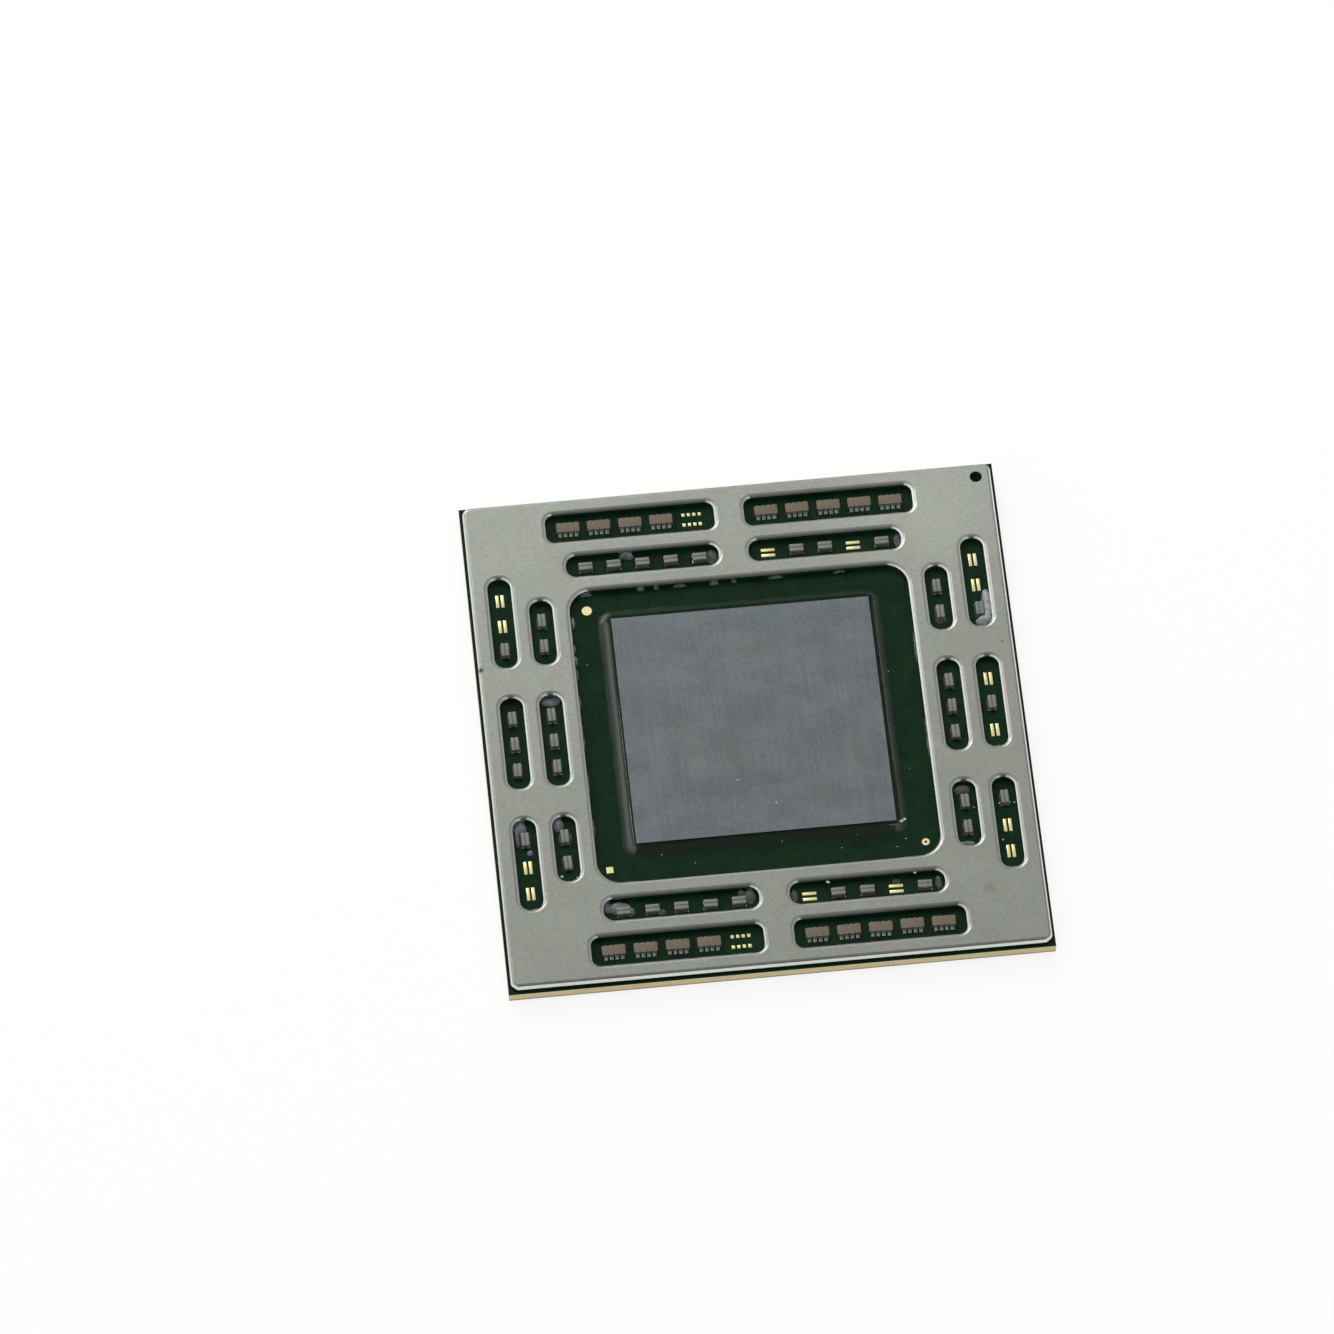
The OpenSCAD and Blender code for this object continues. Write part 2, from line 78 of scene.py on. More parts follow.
def pick(piece, test, kind="VERT"):
    # leaves the piece in edit mode with the vertices, edges or faces that pass selected
    selectOnly(piece)
    bpy.ops.object.mode_set(mode="EDIT")
    bpy.ops.mesh.select_mode(type=kind)
    bpy.ops.mesh.select_all(action="DESELECT")
    bpy.ops.object.mode_set(mode="OBJECT")
    mesh = piece.data
    if kind == "VERT":
        for vertex in mesh.vertices:
            vertex.select = test(vertex.co / mm)
    elif kind == "EDGE":
        for edge in mesh.edges:
            edge.select = test(*(mesh.vertices[v].co / mm for v in edge.vertices))
    else:
        for face in mesh.polygons:
            face.select = test(face.center / mm, face.normal)
    bpy.ops.object.mode_set(mode="EDIT")


def boxPiece(name, low, high):
    # a box between two corners in mm, with its place in the mesh
    bpy.ops.object.select_all(action="DESELECT")
    bpy.ops.mesh.primitive_cube_add(size=1.0)
    piece = bpy.context.object
    piece.name = name
    piece.scale = [(h - l) * mm for l, h in zip(low, high)]
    piece.location = [(h + l) / 2 * mm for l, h in zip(low, high)]
    bpy.ops.object.transform_apply(location=True, rotation=True, scale=True)
    return piece


def copyOfNode(node, name, angle=0.5):
    # a merged copy of a CAD node's mesh
    selectOnly(frame["nodes"][node])
    bpy.ops.object.duplicate()
    piece = bpy.context.object
    piece.name = name
    del piece["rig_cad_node"]
    bpy.ops.object.parent_clear(type="CLEAR_KEEP_TRANSFORM")
    bpy.ops.mesh.customdata_custom_splitnormals_clear()
    bpy.ops.object.mode_set(mode="EDIT")
    bpy.ops.mesh.select_all(action="SELECT")
    bpy.ops.mesh.remove_doubles(threshold=0.0005 * mm)
    if angle:
        bpy.ops.mesh.dissolve_limited(angle_limit=math.radians(angle))
    bpy.ops.object.mode_set(mode="OBJECT")
    return piece


def joinInto(name, pieces):
    bpy.ops.object.select_all(action="DESELECT")
    for piece in pieces:
        piece.select_set(True)
    bpy.context.view_layer.objects.active = pieces[0]
    if len(pieces) > 1:
        bpy.ops.object.join()
    bpy.ops.object.transform_apply(location=True, rotation=True, scale=True)
    joined = bpy.context.object
    joined.name = name
    return joined


def smoothBy(piece, angle):
    selectOnly(piece)
    bpy.ops.object.shade_smooth_by_angle(angle=math.radians(angle))


def finishPiece(piece, slot, material, *nodes):
    piece.data.materials.clear()
    piece.data.materials.append(material)
    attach(piece, "root")
    if nodes:
        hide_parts(*nodes)


def bevelPiece(piece, width, segments, angle=30):
    applyModifier(piece, "BEVEL", width=width * mm, segments=segments, limit_method="ANGLE",
                  angle_limit=math.radians(angle))


def ripple(piece, size, strength, middle=0.5, group=""):
    # waves of the given size and strength in mm, along the normals
    texture = bpy.data.textures.new(piece.name + "Waves", "CLOUDS")
    texture.noise_scale = size * mm
    applyModifier(piece, "DISPLACE", texture=texture, texture_coords="LOCAL", direction="NORMAL",
                  mid_level=middle, strength=strength * mm, vertex_group=group)


def cornersOf(points):
    # the lowest and the highest corner of a list of points
    return [min(p[i] for p in points) for i in range(3)], [max(p[i] for p in points) for i in range(3)]


def middleOf(low, high):
    return [(l + h) / 2 for l, h in zip(low, high)]


def removeAll(*pieces):
    for piece in pieces:
        bpy.data.objects.remove(piece)


# levels in mm, from the frame itself


def boxOf(node):
    shown = frame["nodes"][node]
    return cornersOf([shown.matrix_world @ Vector(c) / mm for c in shown.bound_box])


maskTop = boxOf("top_mask")[1][2]
boardLow, boardHigh = boxOf("laminate")
dieLow, dieHigh = boxOf("silicon_die")
sheetHigh = boxOf("stiffener")[1]

# helpers for materials


def startMaterial(name, roughness, metallic=0.0, specular=0.5):
    material = bpy.data.materials.new(name)
    material.use_nodes = True
    tree = material.node_tree
    tree.nodes.clear()
    output = tree.nodes.new("ShaderNodeOutputMaterial")
    shader = tree.nodes.new("ShaderNodeBsdfPrincipled")
    shader.inputs["Roughness"].default_value = roughness
    shader.inputs["Metallic"].default_value = metallic
    shader.inputs["Specular IOR Level"].default_value = specular
    tree.links.new(shader.outputs[0], output.inputs[0])
    return material, tree, shader


def placeOn(tree, size, turn=0.0, centre=(0, 0, 0)):
    # object coordinates in units of size, turned about Z
    where = tree.nodes.new("ShaderNodeTexCoord")
    mapping = tree.nodes.new("ShaderNodeMapping")
    sizes = size if isinstance(size, tuple) else (size,) * 3
    mapping.vector_type = "TEXTURE"
    mapping.inputs["Location"].default_value = [c * mm for c in centre]
    mapping.inputs["Rotation"].default_value[2] = math.radians(turn)
    mapping.inputs["Scale"].default_value = [s * mm for s in sizes]
    tree.links.new(where.outputs["Object"], mapping.inputs["Vector"])
    return mapping.outputs["Vector"]


def noiseOn(tree, size, detail=2.0, rough=0.5, turn=0.0, centre=(0, 0, 0)):
    pattern = tree.nodes.new("ShaderNodeTexNoise")
    pattern.inputs["Scale"].default_value = 1.0
    pattern.inputs["Detail"].default_value = detail
    pattern.inputs["Roughness"].default_value = rough
    tree.links.new(placeOn(tree, size, turn, centre), pattern.inputs["Vector"])
    return pattern.outputs["Fac"]


def spanOn(tree, vector, axis, low, high):
    # one part of a vector, from 0 at low to 1 at high
    split = tree.nodes.new("ShaderNodeSeparateXYZ")
    span = tree.nodes.new("ShaderNodeMapRange")
    tree.links.new(vector, split.inputs[0])
    tree.links.new(split.outputs[axis], span.inputs["Value"])
    span.inputs["From Min"].default_value = low
    span.inputs["From Max"].default_value = high
    return span.outputs["Result"]


def axisOn(tree, axis, low, high):
    # runs from 0 at low to 1 at high, in mm along one axis of the object
    where = tree.nodes.new("ShaderNodeTexCoord")
    return spanOn(tree, where.outputs["Object"], axis, low * mm, high * mm)


def steepOn(tree, flat, steep):
    # 0 on level faces, 1 on faces that lean; flat and steep are the upright part of the normal
    shape = tree.nodes.new("ShaderNodeNewGeometry")
    return spanOn(tree, shape.outputs["Normal"], "Z", flat, steep)


def patchOn(tree, centre, radius):
    # a round patch on a level surface, 1 in its middle and 0 at its radius
    patch = tree.nodes.new("ShaderNodeTexGradient")
    patch.gradient_type = "SPHERICAL"
    tree.links.new(placeOn(tree, (radius, radius, 99.0), centre=(*centre, 0)), patch.inputs["Vector"])
    return patch.outputs["Fac"]


def rampOn(tree, factor, *stops):
    ramp = tree.nodes.new("ShaderNodeValToRGB")
    while len(ramp.color_ramp.elements) < len(stops):
        ramp.color_ramp.elements.new(0.5)
    for element, (position, colour) in zip(ramp.color_ramp.elements, stops):
        shade = colour if isinstance(colour, tuple) else (colour,) * 3
        element.position = position
        element.color = (*shade, 1.0)
    tree.links.new(factor, ramp.inputs["Fac"])
    return ramp.outputs["Color"]


def mixOn(tree, factor, first, second, blend="MIX"):
    mix = tree.nodes.new("ShaderNodeMix")
    mix.data_type = "RGBA"
    mix.blend_type = blend
    for socket, value in (("Factor", factor), ("A", first), ("B", second)):
        target = next(s for s in mix.inputs if s.name == socket and s.enabled)
        if isinstance(value, (int, float)):
            target.default_value = value
        elif isinstance(value, tuple):
            target.default_value = (*value, 1.0)
        else:
            tree.links.new(value, target)
    return next(s for s in mix.outputs if s.enabled)


def shadeOn(tree, base, factor, *stops):
    # base times a ramp
    return mixOn(tree, 1.0, base, rampOn(tree, factor, *stops), "MULTIPLY")


def bumpOn(tree, shader, height, strength, depth):
    bump = tree.nodes.new("ShaderNodeBump")
    bump.inputs["Strength"].default_value = strength
    bump.inputs["Distance"].default_value = depth * mm
    tree.links.new(height, bump.inputs["Height"])
    if shader.inputs["Normal"].links:
        tree.links.new(shader.inputs["Normal"].links[0].from_socket, bump.inputs["Normal"])
    tree.links.new(bump.outputs["Normal"], shader.inputs["Normal"])


def mottled(name, dark, light, grain, roughness, metallic=0.0, specular=0.5):
    # a finish that wanders between two colours, with a slight relief
    material, tree, shader = startMaterial(name, roughness, metallic, specular)
    mottle = noiseOn(tree, grain, detail=4.0)
    tree.links.new(rampOn(tree, mottle, (0.3, dark), (0.7, light)), shader.inputs["Base Color"])
    bumpOn(tree, shader, mottle, 0.3, 0.01)
    return material


# materials

nickelLook = {
    # flat top and leaning rims: the rims' lighter colour is partly a burnished edge and partly a painted
    # highlight
    "flat": (0.452, 0.472, 0.424), "rim": (0.92, 0.93, 0.92), "roughFlat": 0.36, "roughRim": 0.15,
    "warm": (1.0, 0.955, 0.94), "cool": (0.955, 0.985, 0.965),
    # sizes of the patterns in mm
    "grain": 0.24, "fine": 0.09, "hue": 1.7, "cloud": 3.2, "dents": 1.6,
    # painted shade that darkens the sheet towards its south end: brightness at the two ends of the sheet,
    # and half its length
    "southShadeGain": 0.8774, "northShadeGain": 0.9906, "reach": 19.6,
    # stains and brighter patches: x, y and radius in mm, then how light the middle is
    "patches": (
        (15.5, 16.5, 10.0, 1.20), (-17.0, 15.0, 7.0, 1.03), (15.5, -15.0, 0.6, 0.82),
        (-19.42, 6.1, 0.30, 0.12), (18.8, 4.7, 0.12, 0.45), (-4.5, 12.6, 2.5, 0.96),
        (6.0, -12.2, 3.0, 0.96), (-16.0, -1.5, 3.5, 1.04),
    ),
    # scratches: direction in degrees and where the pattern starts
    "scratches": ((28, (1, 2, 0)), (-51, (5, 1, 0)), (83, (2, 9, 0))),
}


def makeNickel():
    material, tree, shader = startMaterial("nickel", nickelLook["roughFlat"], 1.0)
    # leaning faces take the lighter rim colour, partly a burnished edge and partly a painted highlight
    steep = steepOn(tree, 0.93, 0.80)
    base = mixOn(tree, steep, nickelLook["flat"], nickelLook["rim"])
    grain = noiseOn(tree, nickelLook["grain"], detail=3.0, rough=0.8)
    base = shadeOn(tree, base, grain, (0.32, 0.84), (0.68, 1.0))
    fine = noiseOn(tree, nickelLook["fine"], detail=2.0, rough=0.8, centre=(2, 4, 0))
    base = shadeOn(tree, base, fine, (0.30, 0.80), (0.70, 1.0))
    hue = noiseOn(tree, nickelLook["hue"], detail=3.0, centre=(6, 1, 0))
    base = shadeOn(tree, base, hue, (0.35, nickelLook["warm"]), (0.65, nickelLook["cool"]))
    for x, y, radius, light in nickelLook["patches"]:
        base = shadeOn(tree, base, patchOn(tree, (x, y), radius), (0.0, 1.0), (0.8, light))
    cloud = noiseOn(tree, nickelLook["cloud"], detail=3.0, centre=(3, 7, 0))
    base = shadeOn(tree, base, cloud, (0.3, 0.93), (0.7, 1.0))
    # painted shade: the sheet is darker towards its south end
    along = axisOn(tree, "Y", -nickelLook["reach"], nickelLook["reach"])
    base = shadeOn(tree, base, along, (0.0, nickelLook["southShadeGain"]), (1.0, nickelLook["northShadeGain"]))
    for turn, centre in nickelLook["scratches"]:
        line = noiseOn(tree, (0.035, 5.0, 5.0), detail=1.0, turn=turn, centre=centre)
        base = shadeOn(tree, base, line, (0.66, 1.0), (0.74, 0.93))
    tree.links.new(base, shader.inputs["Base Color"])
    rough = mixOn(tree, steep, (nickelLook["roughFlat"],) * 3, (nickelLook["roughRim"],) * 3)
    tree.links.new(rough, shader.inputs["Roughness"])
    bumpOn(tree, shader, fine, 0.25, 0.003)
    bumpOn(tree, shader, noiseOn(tree, nickelLook["dents"], detail=2.0), 0.2, 0.02)
    return material


maskLook = {
    "deep": (0.0012, 0.0130, 0.0042), "light": (0.0075, 0.0390, 0.0150), "roughness": 0.22, "specular": 0.10,
    "cloud": 1.8, "grain": 0.30, "relief": 0.35, "runs": (0.9, 0.45, 2.0), "runTurn": 45,
}


def makeMask():
    material, tree, shader = startMaterial("solderMask", maskLook["roughness"], 0.0, maskLook["specular"])
    # copper under the mask shows as slightly lighter runs
    runs = tree.nodes.new("ShaderNodeTexVoronoi")
    runs.feature = "DISTANCE_TO_EDGE"
    runs.inputs["Scale"].default_value = 1.0
    tree.links.new(placeOn(tree, maskLook["runs"], maskLook["runTurn"]), runs.inputs["Vector"])
    copper = rampOn(tree, runs.outputs["Distance"], (0.04, 1.0), (0.10, 0.0))
    cloud = rampOn(tree, noiseOn(tree, maskLook["cloud"], detail=4.0), (0.3, 0.0), (0.7, 1.0))
    grain = rampOn(tree, noiseOn(tree, maskLook["grain"], detail=3.0, rough=0.7), (0.35, 0.0), (0.65, 1.0))
    share = mixOn(tree, 0.15, mixOn(tree, 0.45, cloud, grain), copper)
    tree.links.new(mixOn(tree, share, maskLook["deep"], maskLook["light"]), shader.inputs["Base Color"])
    bumpOn(tree, shader, noiseOn(tree, maskLook["relief"], detail=3.0), 0.25, 0.01)
    return material


boardLook = {
    "glass": (0.90, 0.76, 0.44), "resin": (0.76, 0.61, 0.33), "brown": (0.44, 0.36, 0.17),
    "layers": (2.4, 2.4, 0.075), "speckle": 0.06,
}


def makeBoard():
    # the cut edge shows the glass cloth in layers and a brown line along the foot
    material, tree, shader = startMaterial("cutLaminate", 0.62, 0.0, 0.35)
    layers = noiseOn(tree, boardLook["layers"], detail=2.0)
    base = rampOn(tree, layers, (0.30, boardLook["resin"]), (0.55, boardLook["glass"]))
    speckle = noiseOn(tree, boardLook["speckle"], detail=2.0)
    base = shadeOn(tree, base, speckle, (0.3, 0.86), (0.7, 1.08))
    foot = rampOn(tree, axisOn(tree, "Z", boardLow[2], boardHigh[2]), (0.0, 0.85), (0.13, 0.75), (0.2, 0.0))
    base = mixOn(tree, foot, base, boardLook["brown"])
    tree.links.new(base, shader.inputs["Base Color"])
    bumpOn(tree, shader, speckle, 0.4, 0.012)
    return material


dieLook = {
    # north and south: the die's colours at its two ends, a slight painted reflection gradient; the wall
    # colour is painted shade
    "north": (0.236, 0.257, 0.266), "south": (0.238, 0.248, 0.262), "wall": (0.012, 0.014, 0.014),
    "warm": (1.02, 1.0, 0.955), "cool": (0.95, 0.975, 0.99), "bluish": (0.90, 0.93, 0.97),
    # sizes of the patterns in mm, and the direction of the grinding marks
    "fine": (0.07, 4.5, 1.0), "broad": (0.6, 7.0, 1.0), "weave": (0.16, 0.28, 1.0),
    "cloud": (3.6, 1.8, 1.0), "hue": (4.5, 2.6, 1.0), "turn": 2.5,
    # light motes: x, y and radius in mm
    "motes": ((0.90, -6.80, 0.07), (-1.70, -4.70, 0.06)), "mote": (0.75, 0.77, 0.80),
}


def makeSilicon():
    material, tree, shader = startMaterial("groundSilicon", 0.30, 0.85, 0.4)
    # painted reflection: the colour shifts slightly from the south end to the north end
    base = mixOn(tree, axisOn(tree, "Y", dieLow[1], dieHigh[1]), dieLook["south"], dieLook["north"])
    # grinding marks run nearly north to south
    turn = dieLook["turn"]
    fine = noiseOn(tree, dieLook["fine"], detail=2.0, turn=turn)
    broad = noiseOn(tree, dieLook["broad"], detail=2.0, turn=turn, centre=(4, 2, 0))
    weave = noiseOn(tree, dieLook["weave"], detail=2.0, turn=turn)
    cloud = noiseOn(tree, dieLook["cloud"], detail=4.0, centre=(1, 5, 0))
    hue = noiseOn(tree, dieLook["hue"], detail=3.0, centre=(8, 3, 0))
    base = shadeOn(tree, base, hue, (0.36, dieLook["warm"]), (0.64, dieLook["cool"]))
    base = shadeOn(tree, base, fine, (0.3, 0.86), (0.7, 1.0))
    base = shadeOn(tree, base, broad, (0.3, dieLook["bluish"]), (0.7, 1.0))
    base = shadeOn(tree, base, cloud, (0.36, 0.80), (0.64, 1.0))
    base = shadeOn(tree, base, weave, (0.3, 0.82), (0.7, 1.0))
    for x, y, radius in dieLook["motes"]:
        here = rampOn(tree, patchOn(tree, (x, y), radius), (0.15, 0.0), (0.45, 1.0))
        base = mixOn(tree, here, base, dieLook["mote"])
    # painted shade: the die's side walls are made near black
    base = mixOn(tree, steepOn(tree, 0.6, 0.2), base, dieLook["wall"])
    tree.links.new(base, shader.inputs["Base Color"])
    tree.links.new(rampOn(tree, cloud, (0.3, 0.34), (0.7, 0.26)), shader.inputs["Roughness"])
    bumpOn(tree, shader, fine, 0.2, 0.003)
    return material


resinLook = {
    "thin": (0.0028, 0.0220, 0.0080), "mid": (0.0100, 0.0220, 0.0100), "thick": (0.0150, 0.0270, 0.0130),
    "rise": 0.71, "cloud": 1.4,
}


def makeResin():
    # as green as the mask where it runs out, black and glossy where it climbs the die
    material, tree, shader = startMaterial("underfillResin", 0.20, 0.0, 0.5)
    up = axisOn(tree, "Z", maskTop, maskTop + resinLook["rise"])
    cloud = noiseOn(tree, resinLook["cloud"], detail=4.0)
    base = rampOn(tree, up, (0.03, resinLook["thin"]), (0.35, resinLook["mid"]), (0.95, resinLook["thick"]))
    base = shadeOn(tree, base, cloud, (0.3, 0.75), (0.7, 1.0))
    tree.links.new(base, shader.inputs["Base Color"])
    lean = rampOn(tree, steepOn(tree, 0.995, 0.80), (0.0, 0.12), (1.0, 1.0))
    tree.links.new(lean, shader.inputs["Specular IOR Level"])
    bumpOn(tree, shader, cloud, 0.2, 0.02)
    return material


def makeMilky(name, colour, alpha, roughness):
    # a milky film that thins out in places
    material, tree, shader = startMaterial(name, roughness, 0.0, 0.5)
    cloud = noiseOn(tree, 0.40, detail=2.0, rough=0.5)
    pale = tuple(min(1.0, c * 1.35) for c in colour)
    tree.links.new(rampOn(tree, cloud, (0.35, colour), (0.7, pale)), shader.inputs["Base Color"])
    tree.links.new(rampOn(tree, cloud, (0.3, alpha * 0.6), (0.65, alpha)), shader.inputs["Alpha"])
    bumpOn(tree, shader, cloud, 0.25, 0.02)
    return material


def makeSolder(name, base, rough, grain):
    # bright metal with frosted spots
    material, tree, shader = startMaterial(name, rough, 1.0)
    spots = noiseOn(tree, grain, detail=4.0)
    dull = tuple(0.82 * c for c in base)
    tree.links.new(rampOn(tree, spots, (0.3, dull), (0.65, base)), shader.inputs["Base Color"])
    tree.links.new(rampOn(tree, spots, (0.3, rough * 1.6), (0.65, rough)), shader.inputs["Roughness"])
    bumpOn(tree, shader, spots, 0.3, 0.01)
    return material


finish = {
    "nickel_plate": makeNickel(),
    "solder_mask": makeMask(),
    "laminate": makeBoard(),
    "silicon": makeSilicon(),
    "underfill": makeResin(),
    "adhesive": mottled("filmAdhesive", (0.010, 0.013, 0.010), (0.035, 0.038, 0.030), 0.25, 0.45),
    "gold": mottled("immersionGold", (0.86, 0.73, 0.34), (0.98, 0.90, 0.52), 0.14, 0.36, metallic=0.7),
    "array_ceramic": mottled(
        "arrayCeramic", (0.165, 0.13, 0.09), (0.215, 0.175, 0.125), 0.12, 0.55, specular=0.3),
    "chip_ceramic": mottled(
        "chipCeramic", (0.12, 0.117, 0.104), (0.17, 0.166, 0.15), 0.10, 0.50, specular=0.3),
    "tinned_terminal": mottled(
        "dullTin", (0.185, 0.188, 0.165), (0.275, 0.278, 0.25), 0.10, 0.50, metallic=0.3, specular=0.4),
    "solder_fillet": makeSolder("solderFillet", (0.085, 0.088, 0.080), 0.45, 0.10),
    "solder_ball": makeSolder("solderBall", (0.72, 0.73, 0.74), 0.20, 0.50),
}
brightFillet = makeSolder("brightFillet", (0.40, 0.41, 0.38), 0.34, 0.10)
milkyViolet = makeMilky("milkyResin", (0.28, 0.295, 0.33), 0.50, 0.12)
milkySmear = makeMilky("milkyHaze", (0.24, 0.26, 0.26), 0.26, 0.16)
paleFilm = makeMilky("paleFilm", (0.40, 0.42, 0.42), 0.85, 0.30)
# the resin ridges' pale colour is a painted highlight
paleRidge = makeMilky("paleRidge", (0.30, 0.33, 0.29), 0.55, 0.15)
paleSealant = makeMilky("paleSealant", (0.28, 0.32, 0.32), 0.55, 0.20)
# white dust, and a painted glint at the die's south-east corner
dustWhite = mottled("dustWhite", (0.45, 0.45, 0.43), (0.75, 0.74, 0.70), 0.05, 0.8)
print("materials made")

for part in frame["record"]["subparts"]:
    shown = frame["nodes"][part["node"]]
    shown.data.materials.clear()
    shown.data.materials.append(finish[part["material_slot"]])

# stiffener: one smooth surface over the rolled rims

sheetEdge = {
    # the outer edge's lower rings: depth under the top in the frame, and the depth they are set to
    "rings": ((0.0995, 0.135), (0.155, 0.32)),
    # everything further out than this is the outer edge
    "outside": 19.0,
    "smooth": 24,
}


def makeSheet():
    sheet = copyOfNode("stiffener", "stiffenerSheet", angle=0)
    top, outside = sheetHigh[2], sheetEdge["outside"]
    for depth, lowered in sheetEdge["rings"]:
        # the outer edge rolls on further down than the openings do
        pick(sheet, lambda p: abs(p[2] - top + depth) < 0.006 and max(abs(p[0]), abs(p[1])) > outside)
        bpy.ops.transform.translate(value=(0, 0, (depth - lowered) * mm))
    smoothBy(sheet, sheetEdge["smooth"])
    # the level top keeps its own flat shading
    pick(sheet, lambda a, b: min(a[2], b[2]) > top - 0.004, "EDGE")
    bpy.ops.mesh.mark_sharp()
    applyModifier(sheet, "WEIGHTED_NORMAL", keep_sharp=True, weight=100)
    return sheet


finishPiece(makeSheet(), "nickel_plate", finish["nickel_plate"], "stiffener")

# die: sawn edges slightly softened

dieEdge = {"width": 0.022, "segments": 2, "smooth": 35}


def makeDie():
    die = copyOfNode("silicon_die", "dieBody")
    bevelPiece(die, dieEdge["width"], dieEdge["segments"])
    smoothBy(die, dieEdge["smooth"])
    applyModifier(die, "WEIGHTED_NORMAL", keep_sharp=True, weight=100)
    return die


finishPiece(makeDie(), "silicon", finish["silicon"], "silicon_die")
print("sheet and die done")

# underfill: a concave fillet that is widest to the west and north

fillet = {
    "height": 0.70, "corner": 0.10, "cornerSegments": 6, "cuts": 44,
    # rings from the die down to the foot, how they spread and how hollow they lie
    "steps": 14, "spread": 1.35, "curve": 2.9, "sink": 0.02,
    "west": 1.45, "east": 1.25, "south": 1.05, "north": 1.45,
    # waves on the lower part: size, strength, where they end and the height they fade over
    "waveSize": 1.6, "wave": 0.05, "waveTop": 0.30, "waveFade": 0.15,
}
reach = {(-1, 0): fillet["west"], (1, 0): fillet["east"], (0, -1): fillet["south"], (0, 1): fillet["north"]}
dieMiddle = middleOf(dieLow, dieHigh)
# from the middle of the die to where its corners start to turn
straight = [(h - l) / 2 - fillet["corner"] for l, h in zip(dieLow[:2], dieHigh[:2])]


def onRing(p, ringZ):
    return abs(p[2] - ringZ) < 0.0005


def filletOutline():
    # the die's outline with rounded corners and divided sides
    bpy.ops.object.select_all(action="DESELECT")
    bpy.ops.mesh.primitive_plane_add(size=1.0)
    piece = bpy.context.object
    piece.name = "underfillFillet"
    piece.scale = [(h - l) * mm for l, h in zip(dieLow[:2], dieHigh[:2])] + [1.0]
    piece.location = [c * mm for c in dieMiddle[:2]] + [(maskTop + fillet["height"]) * mm]
    bpy.ops.object.transform_apply(location=True, rotation=True, scale=True)
    bpy.ops.object.mode_set(mode="EDIT")
    bpy.ops.mesh.select_all(action="SELECT")
    bpy.ops.mesh.delete(type="ONLY_FACE")
    bpy.ops.mesh.select_all(action="SELECT")
    bpy.ops.mesh.bevel(offset=fillet["corner"] * mm, segments=fillet["cornerSegments"], affect="VERTICES")
    # only the four long edges are divided
    pick(piece, lambda a, b: (a - b).length > 5.0, "EDGE")
    bpy.ops.mesh.subdivide(number_cuts=fillet["cuts"])
    bpy.ops.mesh.select_mode(type="VERT")
    bpy.ops.mesh.select_all(action="SELECT")
    return piece


def spreadSides(piece, ringZ, grown):
    # the straight stretches of a ring move outwards
    for side, full in reach.items():
        axis = 0 if side[0] else 1

        def onSide(p):
            away = [p[i] - dieMiddle[i] for i in (0, 1)]
            outside = [abs(away[i]) > straight[i] - 0.001 for i in (0, 1)]
            facing = away[0] * side[0] + away[1] * side[1] > 0
            return onRing(p, ringZ) and facing and outside[axis] and not all(outside)

        pick(piece, onSide)
        bpy.ops.transform.translate(value=(side[0] * full * grown * mm, side[1] * full * grown * mm, 0))


def growCorners(piece, ringZ, before, share):
    # the four rounds of a ring widen about the points they turn on
    for sx in (-1, 1):
        for sy in (-1, 1):
            pivot = (dieMiddle[0] + sx * straight[0], dieMiddle[1] + sy * straight[1])

            def onCorner(p):
                outside = min((p[0] - pivot[0]) * sx, (p[1] - pivot[1]) * sy)
                return onRing(p, ringZ) and outside > -0.001

            pick(piece, onCorner)
            growth = [(fillet["corner"] + full * share) / (fillet["corner"] + full * before)
                      for full in (reach[sx, 0], reach[0, sy])]
            bpy.ops.transform.resize(value=(*growth, 1),
                                     center_override=(pivot[0] * mm, pivot[1] * mm, ringZ * mm))


def makeUnderfill():
    piece = filletOutline()
    before, level = 0.0, fillet["height"]
    for step in range(1, fillet["steps"] + 1):
        share = (step / fillet["steps"]) ** fillet["spread"]
        fall = (fillet["height"] + fillet["sink"]) * (1 - share) ** fillet["curve"]
        drop = fall - fillet["sink"] - level
        bpy.ops.mesh.extrude_edges_move(TRANSFORM_OT_translate={"value": (0, 0, drop * mm)})
        level += drop
        ringZ = maskTop + level
        spreadSides(piece, ringZ, share - before)
        growCorners(piece, ringZ, before, share)
        pick(piece, lambda p: onRing(p, ringZ))
        bpy.ops.mesh.select_mode(type="EDGE")
        before = share
    # close the foot and the part under the die
    bpy.ops.mesh.select_all(action="DESELECT")
    bpy.ops.mesh.select_mode(type="EDGE")
    bpy.ops.mesh.select_non_manifold()
    bpy.ops.mesh.edge_face_add()
    bpy.ops.mesh.select_all(action="SELECT")
    bpy.ops.mesh.normals_make_consistent(inside=False)
    bpy.ops.object.mode_set(mode="OBJECT")
    lower = piece.vertex_groups.new(name="lower")
    for vertex in piece.data.vertices:
        under = maskTop + fillet["waveTop"] - vertex.co[2] / mm
        if under > 0:
            lower.add([vertex.index], min(1.0, under / fillet["waveFade"]), "REPLACE")
    ripple(piece, fillet["waveSize"], fillet["wave"], group="lower")
    smoothBy(piece, 40)
    return piece


finishPiece(makeUnderfill(), "underfill", finish["underfill"], "underfill")
print("underfill done")

# solder balls: one low ball, set at the tip of every CAD ball

ballShape = {"diameter": 0.56, "height": 0.44, "segments": 12, "rings": 7}


